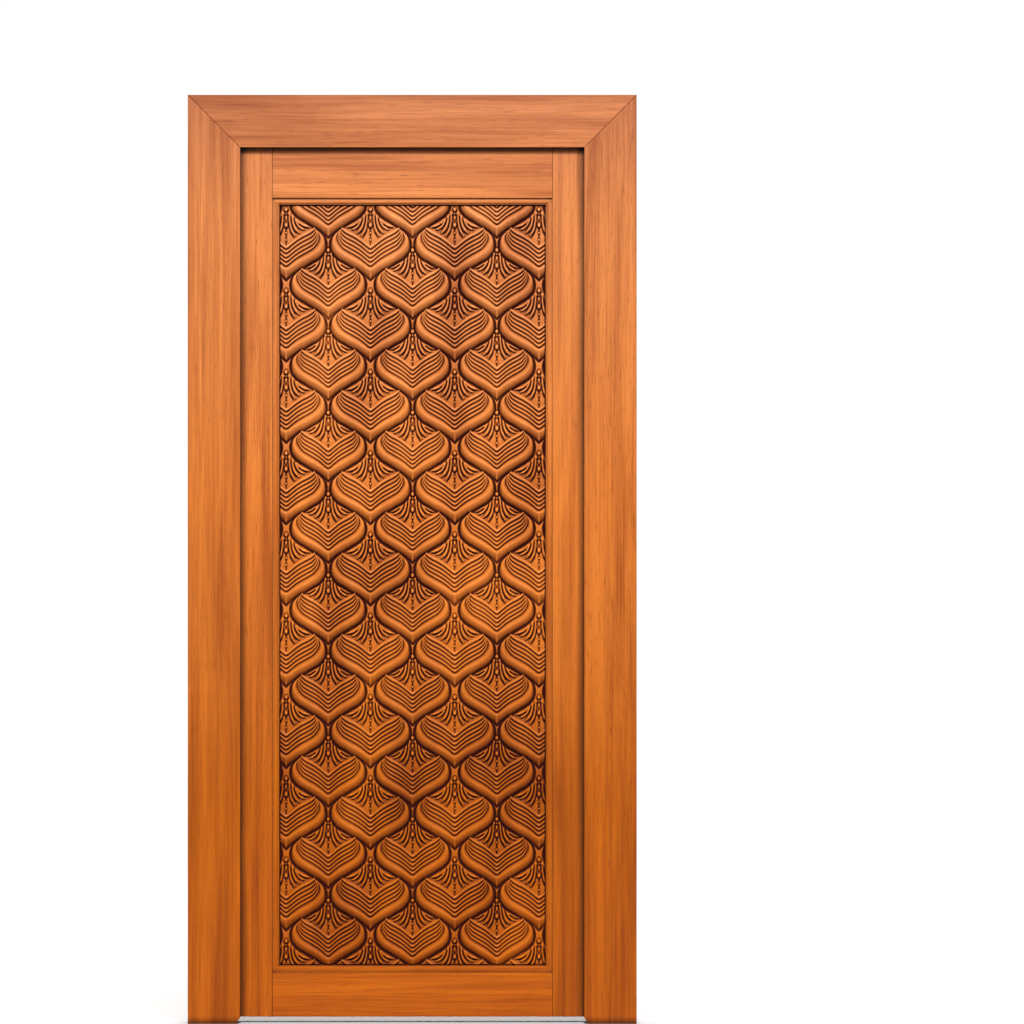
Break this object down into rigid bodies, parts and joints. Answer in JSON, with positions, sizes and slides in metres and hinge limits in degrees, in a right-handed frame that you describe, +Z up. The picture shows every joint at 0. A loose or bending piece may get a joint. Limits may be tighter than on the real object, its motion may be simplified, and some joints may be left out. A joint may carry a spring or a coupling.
{
  "type": "teak door in its frame",
  "caption": "Hinged teak door in a mitred rebated frame, its tall panel carved with a half-drop repeat of ogee leaves.",
  "frame": {"origin": "bottom centre of the door set's box, on the floor", "axes": "+Z up, -Y towards the viewer of the carved front, +X to that viewer's right"},
  "size_m": [1.046, 0.0745, 2.165],
  "materials": {
    "frame_teak": "oiled teak, straight grain along each member",
    "leaf_teak": "oiled teak, straight grain along each member",
    "carved_teak": "oiled teak, carved, darker in the hollows",
    "hinge_brass": "satin brass"
  },
  "bodies": {
    "frame": {"hinge_jamb": "frame_teak", "closing_jamb": "frame_teak", "frame_head": "frame_teak", "mitre_tongue_left": "frame_teak", "mitre_tongue_right": "frame_teak", "top_hinge_jamb_plate": "hinge_brass", "middle_hinge_jamb_plate": "hinge_brass", "bottom_hinge_jamb_plate": "hinge_brass", "top_hinge_pin": "hinge_brass", "middle_hinge_pin": "hinge_brass", "bottom_hinge_pin": "hinge_brass"},
    "leaf": {"hinge_stile": "leaf_teak", "closing_stile": "leaf_teak", "top_rail": "leaf_teak", "bottom_rail": "leaf_teak", "carved_panel": "carved_teak", "front_bead_top": "leaf_teak", "front_bead_bottom": "leaf_teak", "front_bead_left": "leaf_teak", "front_bead_right": "leaf_teak", "back_bead_top": "leaf_teak", "back_bead_bottom": "leaf_teak", "back_bead_left": "leaf_teak", "back_bead_right": "leaf_teak", "top_hinge_leaf_plate": "hinge_brass", "middle_hinge_leaf_plate": "hinge_brass", "bottom_hinge_leaf_plate": "hinge_brass"}
  },
  "joints": [
    {"name": "door_hinge", "type": "hinge", "parent": "frame", "child": "leaf", "pos_m": [-0.4145, 0.03125, 0], "axis": [0, 0, 1], "range_deg": [0, 180]}
  ]
}
